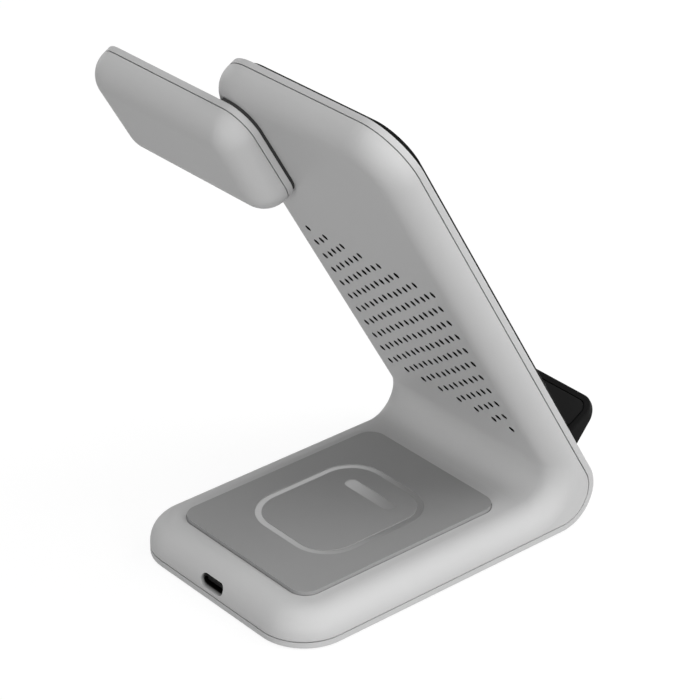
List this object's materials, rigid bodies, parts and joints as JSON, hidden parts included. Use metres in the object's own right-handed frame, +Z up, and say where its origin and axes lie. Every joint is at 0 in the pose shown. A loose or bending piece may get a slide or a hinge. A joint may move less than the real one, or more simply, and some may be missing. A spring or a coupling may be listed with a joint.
{
  "type": "wireless charging stand",
  "caption": "Charging stand with a phone plate that leans back over a matted earbud base, a watch head at its side, vent holes, a phone ledge and a power socket.",
  "frame": {"origin": "middle of the base's footprint, on the desk", "axes": "+Z up from the desk, +Y towards the power socket, so a phone faces -Y, and +X towards the watch head"},
  "size_m": [0.1238, 0.1181, 0.1495],
  "materials": {
    "shell_grey": "pale grey satin moulded plastic",
    "panel_black": "black satin panel",
    "ledge_black": "black fine-grained moulded plastic",
    "pad_black": "black soft pad",
    "mat_grey": "mid grey soft mat",
    "grip_rubber": "dark grey grip sheet",
    "gasket_black": "black soft gasket",
    "dish_dark": "dark soft-touch plastic",
    "copper": "wound copper wire",
    "magnet_nickel": "nickel-plated magnet",
    "ferrite": "dark grey ferrite",
    "carrier_plastic": "dark grey moulded plastic",
    "steel_plate": "plain steel plate",
    "board_green": "green circuit board",
    "chip_black": "black moulded chips",
    "capacitor_tan": "tan ceramic",
    "socket_metal": "bright stamped steel",
    "socket_black": "black insulator",
    "lead_black": "black insulated wire",
    "screw_steel": "plated steel screws"
  },
  "bodies": {
    "root": {"outer_cover": "shell_grey", "back_housing": "shell_grey", "front_panel": "panel_black", "phone_ledge": "ledge_black", "ledge_pad": "pad_black", "earbud_mat": "mat_grey", "grip_sheet": "grip_rubber", "watch_front_cover": "shell_grey", "watch_back_shell": "shell_grey", "arm_gasket": "gasket_black", "watch_dish": "dish_dark", "watch_coil": "copper", "watch_magnet": "magnet_nickel", "watch_ferrite": "ferrite", "phone_coil_lower": "copper", "phone_coil_upper": "copper", "phone_ferrite": "ferrite", "phone_coil_carrier": "carrier_plastic", "earbud_coil": "copper", "earbud_ferrite": "ferrite", "earbud_coil_carrier": "carrier_plastic", "counterweight": "steel_plate", "main_board": "board_green", "controller_chip": "chip_black", "power_inductors": "ferrite", "bridge_chips": "chip_black", "resonant_capacitors": "capacitor_tan", "socket_shell": "socket_metal", "socket_insulator": "socket_black", "socket_tongue": "socket_black", "phone_lead": "lead_black", "earbud_lead": "lead_black", "watch_lead": "lead_black", "base_screws": "screw_steel", "plate_screws": "screw_steel", "ledge_screws": "screw_steel", "arm_screws": "screw_steel", "board_screws": "screw_steel", "phone_carrier_screws": "screw_steel", "earbud_carrier_screws": "screw_steel"}
  },
  "joints": []
}
